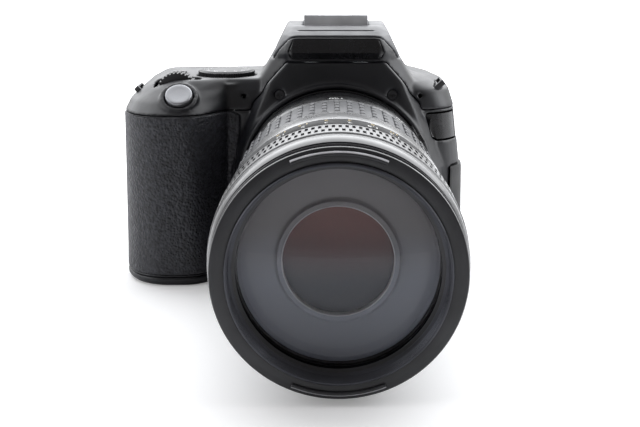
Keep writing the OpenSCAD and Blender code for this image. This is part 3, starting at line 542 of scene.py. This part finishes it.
MOUNT_Y = -22
LENS_MOUNT = (0, MOUNT_Y, AXIS_TALL)
LENS_AXIS = (0, -1, 0)
barrel_plastic = moulded("barrel_plastic", (0.0075, 0.0075, 0.0085), 0.28, 0.28 * MM, 0.01 * MM,
                         Specular_IOR_Level=0.3)
carry("lens_bayonet", barrel_plastic)
fit(eased("base_tube", "base_barrel", 0.2), "camera", "barrel_plastic", barrel_plastic, "base_barrel")
fit(eased("focus_mode_switch", "af_switch", 0.2), "af_switch", "control_plastic", key_plastic, "af_switch")
rear_coating = made_finish("rear_coating", (0.7, 0.78, 0.9), 0.04, Transmission_Weight=1.0, IOR=1.55)
rubbed(rear_coating, 0.02, 0.06, 40)
carry("rear_group", rear_coating)


# Zoom ring.
# A moulded ring that turns on the base barrel, with white focal lengths printed round its smooth band.

zoom_outline = ((31.5, 20.3), (32.7, 20.3), (33.1, 20.8), (33.4, 34.0), (32.2, 34.0), (32.2, 63.6),
                (34.1, 63.6), (34.3, 64.0), (34.3, 65.7), (30.3, 65.7), (30.3, 25.5), (31.5, 25.5))


def turned(name, outline, steps, ease=0.0):
    return piece_of(name, spun(outline, LENS_MOUNT, LENS_AXIS, steps, ease))


def wrapped(radius, station, turn):
    def place(corner):
        angle = turn - corner.x / (radius * MM)
        across = radius * MM * sin(angle)
        up = AXIS_TALL * MM + radius * MM * cos(angle)
        return Vector((across, (MOUNT_Y - station) * MM - corner.y, up))
    return place


zoom_tube = turned("zoom_tube", zoom_outline, 160, 0.12)
fit(zoom_tube, "zoom_ring", "barrel_plastic", barrel_plastic, "zoom_ring")
ZOOM_MARKS = ("50", "70", "100", "135", "200")
ZOOM_MARK_R = 33.5
ZOOM_MARK_T = 29
ZOOM_MARK_TALL = 3.4
ZOOM_MARK_STEP = 38
zoom_print = bmesh.new()
for step, mark in enumerate(ZOOM_MARKS):
    turn = radians(ZOOM_MARK_STEP * (2 - step))
    lettered(zoom_print, mark, ZOOM_MARK_TALL, wrapped(ZOOM_MARK_R, ZOOM_MARK_T, turn))
fit(piece_of("zoom_numbers", zoom_print), "zoom_ring", "barrel_plastic", print_white)


# Zoom rubber.
# A moulded rubber sleeve stretched over the zoom ring, with five rows of raised nubs in close columns.

SLEEVE_R = 33.35
SLEEVE_BORE = 32.25
NUB_ROWS = 5
NUB_COLUMNS = 54
NUB_SIZE = (1.6, 4.4, 1.1)
NUB_ROUND = 0.42
RUBBER_T0 = 34.1
RUBBER_T1 = 63.5
sleeve_outline = ((SLEEVE_BORE, RUBBER_T0), (SLEEVE_R, RUBBER_T0), (SLEEVE_R, RUBBER_T1),
                  (SLEEVE_BORE, RUBBER_T1))
rubber_shape = spun(sleeve_outline, LENS_MOUNT, LENS_AXIS, 160, 0.2)
row_pitch = (RUBBER_T1 - RUBBER_T0) / NUB_ROWS
for row in range(NUB_ROWS):
    station = RUBBER_T0 + row_pitch * (row + 0.5)
    centre = Vector((0, MOUNT_Y - station, AXIS_TALL + SLEEVE_R)) * MM
    size = Matrix.Diagonal((*(length * MM for length in NUB_SIZE), 1))
    nub = bmesh.ops.create_cube(rubber_shape, size=1, matrix=Matrix.Translation(centre) @ size)["verts"]
    edges = list(dict.fromkeys(edge for corner in nub for edge in corner.link_edges))
    rounded = bmesh.ops.bevel(rubber_shape, geom=edges, offset=NUB_ROUND * MM, offset_type="OFFSET",
                              affect="EDGES", segments=2, profile=0.5, material=-1, clamp_overlap=True)
    corners = dict.fromkeys(corner for face in rounded["faces"] for corner in face.verts)
    faces = list(dict.fromkeys(face for corner in corners for face in corner.link_faces))
    copies = NUB_COLUMNS - 1
    bmesh.ops.spin(rubber_shape, geom=faces, cent=(0, 0, AXIS_TALL * MM), axis=(0, 1, 0),
                   angle=2 * pi * copies / NUB_COLUMNS, steps=copies, use_duplicate=True)
bmesh.ops.recalc_face_normals(rubber_shape, faces=rubber_shape.faces)
zoom_rubber_finish = moulded("zoom_rubber_finish", (0.03, 0.031, 0.036), 0.48, 0.3 * MM, 0.008 * MM)
fit(piece_of("zoom_grip", rubber_shape), "zoom_ring", "rubber", zoom_rubber_finish, "zoom_rubber")


# Extension barrel with its distance strip.
# A satin moulded tube that slides out of the zoom ring. A printed strip round it carries the distances.

extension_outline = ((28.6, 6), (29.9, 6), (29.9, 66.1), (34.4, 66.1), (34.5, 66.5), (34.5, 91), (33.4, 91),
                     (33.4, 68), (30.4, 68), (30.4, 104), (29.2, 104), (29.2, 70), (28.6, 70))
satin_plastic = moulded("satin_plastic", (0.02, 0.0204, 0.024), 0.3, 0.5 * MM, 0.0004 * MM, Coat_Weight=1.0,
                        Coat_Roughness=0.25)
sliding_tube = turned("sliding_tube", extension_outline, 160, 0.12)
fit(sliding_tube, "extension", "barrel_plastic", satin_plastic, "extension_barrel")
STRIP_BED_R = 34.3
STRIP_R = 34.62
STRIP_T0 = 79.0
STRIP_T1 = 88.0
strip_outline = ((STRIP_BED_R, STRIP_T0), (STRIP_R, STRIP_T0), (STRIP_R, STRIP_T1), (STRIP_BED_R, STRIP_T1))
strip_black = moulded("strip_black", (0.006, 0.006, 0.0068), 0.62, 0.3 * MM, 0.006 * MM,
                      Specular_IOR_Level=0.18)
strip = turned("distance_strip", strip_outline, 160, 0.08)
fit(strip, "extension", "barrel_plastic", strip_black)
print_gold = moulded("print_gold", (0.5, 0.36, 0.12), 0.5, 0.2 * MM, 0.004 * MM)
DISTANCES = ("1.2", "1.5", "2", "3", "5", "10")
DISTANCE_R = 34.67
DISTANCE_TALL = 3.0
DISTANCE_STEP = 11
DISTANCE_ROWS = (("metre_marks", DISTANCES, print_white, 85.6),
                 ("index_marks", DISTANCES[::-1], print_gold, 81.6))
for name, marks, made, station in DISTANCE_ROWS:
    strip_print = bmesh.new()
    for step, mark in enumerate(marks):
        turn = radians(DISTANCE_STEP * (2.5 - step))
        lettered(strip_print, mark, DISTANCE_TALL, wrapped(DISTANCE_R, station, turn))
    fit(piece_of(name, strip_print), "extension", "barrel_plastic", made)


# Focus ring.
# A moulded ring with two staggered rows of fine notches and a smooth bright rim in front of them.

FRONT_T = 122.0
FOCUS_R = 35.45
NOTCHES = 120
NOTCH_ROWS = ((-26.2, -22.4), (-20.4, -16.6))
NOTCH_DEEP = 0.4
NOTCH_RIM = 0.1
focus_outline = ((30.9, -30.6), (34.6, -30.6), (34.6, -28.2), (FOCUS_R - 0.1, -27.7), (FOCUS_R, -27.4),
                 (FOCUS_R, -26.2), (FOCUS_R, -22.4), (FOCUS_R, -20.4), (FOCUS_R, -16.6), (FOCUS_R, -15.4),
                 (FOCUS_R - 0.1, -15.1), (34.9, -14.7), (35.1, -14.2), (35.0, -10), (34.7, -8), (34.2, -7),
                 (30.9, -7))


def from_front(outline):
    return [(radius, FRONT_T + along) for radius, along in outline]


def off_axis(point):
    return Vector((point.x, point.z - AXIS_TALL * MM)).length


focus_shape = spun(from_front(focus_outline), LENS_MOUNT, LENS_AXIS, 2 * NOTCHES)
focus_shape.normal_update()
pits = []
for face in focus_shape.faces:
    middle = face.calc_center_median()
    along = MOUNT_Y - middle.y / MM - FRONT_T
    around = atan2(middle.x, middle.z - AXIS_TALL * MM) % (2 * pi)
    column = int(around * NOTCHES / pi)
    outer = face.normal.y ** 2 < 0.1 and off_axis(middle) > (FOCUS_R - 0.25) * MM
    for row, (back, front) in enumerate(NOTCH_ROWS):
        if outer and back < along < front and column % 2 == row:
            pits.append(face)
bmesh.ops.inset_individual(focus_shape, faces=pits, thickness=NOTCH_RIM * MM, depth=-NOTCH_DEEP * MM)
ring_plastic = moulded("ring_plastic", (0.014, 0.0143, 0.017), 0.36, 0.5 * MM, 0.002 * MM, Coat_Weight=0.45,
                       Coat_Roughness=0.26)
fit(piece_of("focus_grip", focus_shape), "focus_ring", "barrel_plastic", ring_plastic, "focus_ring")


# Front cell.
# A black moulded ring that carries the front glass, with a threaded alloy sleeve in its mouth for filters.
# Two short bayonet tabs for a hood stand outside the sleeve, above and below. Their outer edge faces are
# painted light grey as a painted highlight along the tab edge.

THREAD_R = 29.0
THREAD_PITCH = 0.75
THREAD_TURNS = 7
FRONT_EDGE_R = 33.2
cell_outline = ((26.95, -24), (28.8, -24), (28.8, -6.6), (34.0, -6.6), (34.2, -6.2), (34.2, -4.6),
                (33.8, -4.4), (33.8, -3.8), (34.0, -3.6), (34.0, -1.6), (33.8, -1.2), (33.4, -1.1),
                (29.5, -1.1), (29.5, -5.7), (28.2, -5.9), (27.2, -6.25), (27.2, -7.0), (27.65, -7.2),
                (27.65, -13.5), (26.95, -13.5))
cell_plastic = moulded("cell_plastic", (0.008, 0.008, 0.0095), 0.6, 0.28 * MM, 0.01 * MM,
                       Specular_IOR_Level=0.0)
face_plastic = moulded("face_plastic", (0.017, 0.0173, 0.0205), 0.36, 0.28 * MM, 0.012 * MM)
front_ring = turned("front_ring", from_front(cell_outline), 192, 0.08)
fit(front_ring, "front_cell", "barrel_plastic", cell_plastic, "front_cell")
front_ring.data.materials.append(face_plastic)
front_ring.data.materials.append(satin_plastic)
for face in front_ring.data.polygons:
    rounded_edge = face.normal.y > -0.95 and off_axis(face.center) > FRONT_EDGE_R * MM
    if face.normal.y < -0.3:
        face.material_index = 2 if rounded_edge else 1

sleeve = [(29.49, -5.6), (29.49, -1.0), (29.8, -1.0), (29.8, -0.3), (29.5, 0), (29.2, 0)]
for groove in range(THREAD_TURNS):
    mouth = -0.1 - THREAD_PITCH * groove
    sleeve += [(THREAD_R, mouth), (THREAD_R + 0.02, mouth - 0.25), (THREAD_R + 0.34, mouth - 0.45)]
sleeve += [(29.0, -5.5), (28.2, -5.75), (28.2, -5.9)]
thread_alloy = moulded("thread_alloy", (0.045, 0.047, 0.058), 0.4, 0.2 * MM, 0.01 * MM, Metallic=0.4)
thread = turned("filter_thread", from_front(sleeve), 192, 0.03)
fit(thread, "front_cell", "barrel_plastic", thread_alloy)

MOUTH_TAB = ((31.7, -1.3), (32.9, -1.3), (32.9, -0.6), (32.5, -0.15), (31.9, -0.15), (31.7, -0.4))
TAB_SPREAD = 22.6
PAINTED_HIGHLIGHT_R = 32.4
TAB_MIDDLES = {"upper": 90, "lower": 270}
tab_edge_painted_highlight = moulded("tab_edge_painted_highlight", (0.42, 0.42, 0.44), 0.35, 0.2 * MM, 0.01 * MM, Metallic=0.5)
for end, middle in TAB_MIDDLES.items():
    tab_shape = bmesh.new()
    start = radians(middle - TAB_SPREAD)
    rim = [tab_shape.verts.new((radius * MM * cos(start), (MOUNT_Y - along) * MM,
                                (AXIS_TALL + radius * sin(start)) * MM))
           for radius, along in from_front(MOUTH_TAB)]
    bmesh.ops.spin(tab_shape, geom=[tab_shape.faces.new(rim)], cent=(0, 0, AXIS_TALL * MM), axis=LENS_AXIS,
                   angle=radians(2 * TAB_SPREAD), steps=28)
    bmesh.ops.remove_doubles(tab_shape, verts=tab_shape.verts, dist=MERGE)
    bmesh.ops.recalc_face_normals(tab_shape, faces=tab_shape.faces)
    tab = piece_of(end + "_mouth_tab", tab_shape)
    edged(tab, 0.12, 40, 2)
    fit(tab, "front_cell", "barrel_plastic", face_plastic)
    # The outer edge faces of each tab take the painted highlight.
    tab.data.materials.append(tab_edge_painted_highlight)
    for face in tab.data.polygons:
        if face.normal.y > -0.9 and off_axis(face.center) > PAINTED_HIGHLIGHT_R * MM:
            face.material_index = 1


# Front element.
# A coated glass element with a shallow dome and a blackened edge, held in the front cell.

def domed(radius, curve, crown, back, steps):
    reaches = [radius * step / steps for step in range(steps + 1)]
    face = [(reach, crown - curve + sqrt(curve ** 2 - reach ** 2)) for reach in reaches]
    return from_front(face + [(radius, back), (0, back)])


GLASS_R = 27.55
GLASS_CURVE = 110.0
GLASS_CROWN = -5.6
GLASS_BACK = -13.4
front_coating = made_finish("front_coating", (0.98, 0.98, 1.0), 0.0, Transmission_Weight=1.0, IOR=1.31)
rubbed(front_coating, 0.0, 0.012, 30)
front_glass = turned("front_glass", domed(GLASS_R, GLASS_CURVE, GLASS_CROWN, GLASS_BACK, 12), 128)
fit(front_glass, "front_cell", "optical_glass", front_coating, "front_element")
edge_black = moulded("edge_black", (0.006, 0.006, 0.006), 0.8, 0.2 * MM, 0.01 * MM)
front_glass.data.materials.append(edge_black)
for face in front_glass.data.polygons:
    if abs(face.normal.y) < 0.1 and off_axis(face.center) > GLASS_R * MM * 0.98:
        face.material_index = 1


# Front baffle, trim ring and inner glass.
# A matt stepped ring behind the front glass, with a thin ring round the smaller second group whose light
# colour is a painted highlight.

baffle_outline = ((15.0, -23.8), (17.4, -23.8), (17.4, -19.6), (26.9, -19.6), (26.9, -13.6),
                  (26.7, -13.6), (25.9, -14.6), (17.0, -18.1), (16.5, -17.9), (16.2, -16.7),
                  (15.0, -16.9))


# Paints colour by height: the lower tone below, the upper tone above, blended between the two heights. It
# is painted reflection and shade (warm room above, bluish floor below), not a colour the parts have.
def painted_light_by_height(made, low_tone, high_tone, low, high):
    tree = made.node_tree
    place = tree.nodes.new("ShaderNodeTexCoord")
    split = tree.nodes.new("ShaderNodeSeparateXYZ")
    rise = tree.nodes.new("ShaderNodeMapRange")
    rise.interpolation_type = "SMOOTHSTEP"
    rise.inputs["From Min"].default_value = low * MM
    rise.inputs["From Max"].default_value = high * MM
    blend = tree.nodes.new("ShaderNodeMix")
    blend.data_type = "RGBA"
    blend.inputs["A"].default_value = (*low_tone, 1)
    blend.inputs["B"].default_value = (*high_tone, 1)
    tree.links.new(place.outputs["Object"], split.inputs[0])
    tree.links.new(split.outputs["Z"], rise.inputs["Value"])
    tree.links.new(rise.outputs[0], blend.inputs["Factor"])
    tree.links.new(blend.outputs["Result"], tree.nodes["Principled BSDF"].inputs["Base Color"])


baffle_grey_and_painted_reflection = made_finish("baffle_grey_and_painted_reflection", (0.3, 0.3, 0.3), 0.6)
# Painted reflection and shade on the baffle: bluish grey below the axis, warm grey above.
painted_light_by_height(baffle_grey_and_painted_reflection, (0.25, 0.272, 0.322), (0.195, 0.185, 0.188), 28, 48)
rubbed(baffle_grey_and_painted_reflection, 0.5, 0.7, 200)
baffle = turned("inner_baffle", from_front(baffle_outline), 160, 0.1)
fit(baffle, "front_cell", "inner_plastic", baffle_grey_and_painted_reflection, "front_baffle")
trim_outline = ((14.7, -22), (15.0, -22), (15.0, -16.85), (14.85, -16.8), (14.7, -17.0))
# Light grey on the thin trim ring: a painted highlight for the bright edge line round the second group.
trim_painted_highlight = moulded("trim_painted_highlight", (0.5, 0.5, 0.52), 0.4, 0.2 * MM, 0.005 * MM, Metallic=0.5)
trim = turned("inner_trim", from_front(trim_outline), 128, 0.05)
fit(trim, "front_cell", "inner_plastic", trim_painted_highlight)
INNER_GLASS_R = 14.65
INNER_CURVE = 60.0
INNER_CROWN = -17.6
INNER_BACK = -23
second_glass_painted_reflection = made_finish("second_glass_painted_reflection", (0.12, 0.075, 0.07), 0.06, Specular_IOR_Level=0.15)
# Painted reflection on the opaque second glass: dark blue below, reddish brown above.
painted_light_by_height(second_glass_painted_reflection, (0.03, 0.036, 0.05), (0.21, 0.105, 0.095), 28, 50)
rubbed(second_glass_painted_reflection, 0.05, 0.09, 50)
second_glass = turned("second_glass", domed(INNER_GLASS_R, INNER_CURVE, INNER_CROWN, INNER_BACK, 8), 96)
fit(second_glass, "front_cell", "optical_glass", second_glass_painted_reflection, "inner_glass")


# Studio.
# A white table that ends in front of the lens, a white surround, a large soft box behind and above,
# a smaller one on each side, and a camera in front at the photograph's angle.

TABLE_EDGE = -0.335
TABLE_HALF = 8
floor_shape = bmesh.new()
bmesh.ops.create_grid(floor_shape, x_segments=1, y_segments=1, size=TABLE_HALF,
                      matrix=Matrix.Translation((0, TABLE_HALF + TABLE_EDGE, 0)))
floor = piece_of("studio_floor", floor_shape)
floor_white = made_finish("floor_white", (0.88, 0.88, 0.885), 0.7, Specular_IOR_Level=0.2)
tree = floor_white.node_tree
paint = tree.nodes["Principled BSDF"]
paint.inputs["Emission Color"].default_value = (1, 1, 1, 1)
path = tree.nodes.new("ShaderNodeLightPath")
spot = tree.nodes.new("ShaderNodeTexCoord")
far = tree.nodes.new("ShaderNodeVectorMath")
far.operation = "LENGTH"
fade = tree.nodes.new("ShaderNodeMapRange")
fade.interpolation_type = "SMOOTHSTEP"
fade.inputs["From Min"].default_value = 0.15
fade.inputs["From Max"].default_value = 0.34
fade.inputs["To Min"].default_value = 0.22
fade.inputs["To Max"].default_value = 1.0
glow = tree.nodes.new("ShaderNodeMath")
glow.operation = "MULTIPLY"
tree.links.new(spot.outputs["Object"], far.inputs[0])
tree.links.new(far.outputs["Value"], fade.inputs["Value"])
tree.links.new(fade.outputs[0], glow.inputs[1])
tree.links.new(path.outputs["Is Camera Ray"], glow.inputs[0])
tree.links.new(glow.outputs[0], paint.inputs["Emission Strength"])
floor.data.materials.append(floor_white)

LAMP_TINT = (0.955, 0.972, 1.0)


def soft_box(name, place, aim, wide, tall, watts):
    lamp = bpy.data.lights.new(name, "AREA")
    lamp.shape = "RECTANGLE"
    lamp.size = wide
    lamp.size_y = tall
    lamp.energy = watts
    lamp.color = LAMP_TINT
    stand = bpy.data.objects.new(name, lamp)
    stand.location = place
    stand.rotation_euler = (Vector(aim) - Vector(place)).to_track_quat("-Z", "Y").to_euler()
    stand.visible_camera = False
    bpy.context.scene.collection.objects.link(stand)


soft_box("back_panel", (0, 0.85, 1.0), (0, -0.05, 0.06), 3.0, 1.9, 46)
soft_box("right_box", (1.2, 0.1, 0.6), (0, 0, 0.05), 0.9, 0.9, 9.5)
soft_box("left_box", (-1.1, -0.35, 0.6), (0, 0, 0.05), 0.7, 0.8, 5.2)

world = bpy.data.worlds.new("surround")
bpy.context.scene.world = world
world.use_nodes = True
tree = world.node_tree
sky = tree.nodes["Background"]
heading = tree.nodes.new("ShaderNodeTexCoord")
split = tree.nodes.new("ShaderNodeSeparateXYZ")
tree.links.new(heading.outputs["Generated"], split.inputs[0])
behind = tree.nodes.new("ShaderNodeMapRange")
behind.interpolation_type = "SMOOTHSTEP"
behind.inputs["From Min"].default_value = -0.45
behind.inputs["From Max"].default_value = 0.45
tree.links.new(split.outputs["Y"], behind.inputs["Value"])
room = tree.nodes.new("ShaderNodeMix")
room.data_type = "RGBA"
room.inputs["A"].default_value = (0.21, 0.2, 0.195, 1)
room.inputs["B"].default_value = (0.75, 0.75, 0.75, 1)
tree.links.new(behind.outputs[0], room.inputs["Factor"])
sight = tree.nodes.new("ShaderNodeLightPath")
mirrored = tree.nodes.new("ShaderNodeMath")
mirrored.operation = "MAXIMUM"
tree.links.new(sight.outputs["Is Glossy Ray"], mirrored.inputs[0])
tree.links.new(sight.outputs["Is Transmission Ray"], mirrored.inputs[1])
backdrop = tree.nodes.new("ShaderNodeMath")
backdrop.operation = "MULTIPLY"
tree.links.new(mirrored.outputs[0], backdrop.inputs[0])
tree.links.new(behind.outputs[0], backdrop.inputs[1])
white = tree.nodes.new("ShaderNodeMath")
white.operation = "MAXIMUM"
tree.links.new(sight.outputs["Is Camera Ray"], white.inputs[0])
tree.links.new(backdrop.outputs[0], white.inputs[1])
seen = tree.nodes.new("ShaderNodeMix")
seen.data_type = "RGBA"
seen.inputs["B"].default_value = (1, 1, 1, 1)
tree.links.new(white.outputs[0], seen.inputs["Factor"])
tree.links.new(room.outputs["Result"], seen.inputs["A"])
tree.links.new(seen.outputs["Result"], sky.inputs["Color"])
sky.inputs["Strength"].default_value = 1.0

EYE = (-0.0031, -0.4596, 0.126)
PITCH = radians(13.05)
YAW = radians(0.32)
lens = bpy.data.cameras.new("viewpoint")
lens.lens = 71.55
lens.sensor_width = 36
lens.clip_start = 0.01
viewpoint = bpy.data.objects.new("viewpoint", lens)
ahead = Vector((-sin(YAW) * cos(PITCH), cos(YAW) * cos(PITCH), -sin(PITCH)))
viewpoint.location = EYE
viewpoint.rotation_euler = ahead.to_track_quat("-Z", "Y").to_euler()
bpy.context.scene.collection.objects.link(viewpoint)
bpy.context.scene.camera = viewpoint
bpy.context.scene.view_settings.view_transform = "Standard"
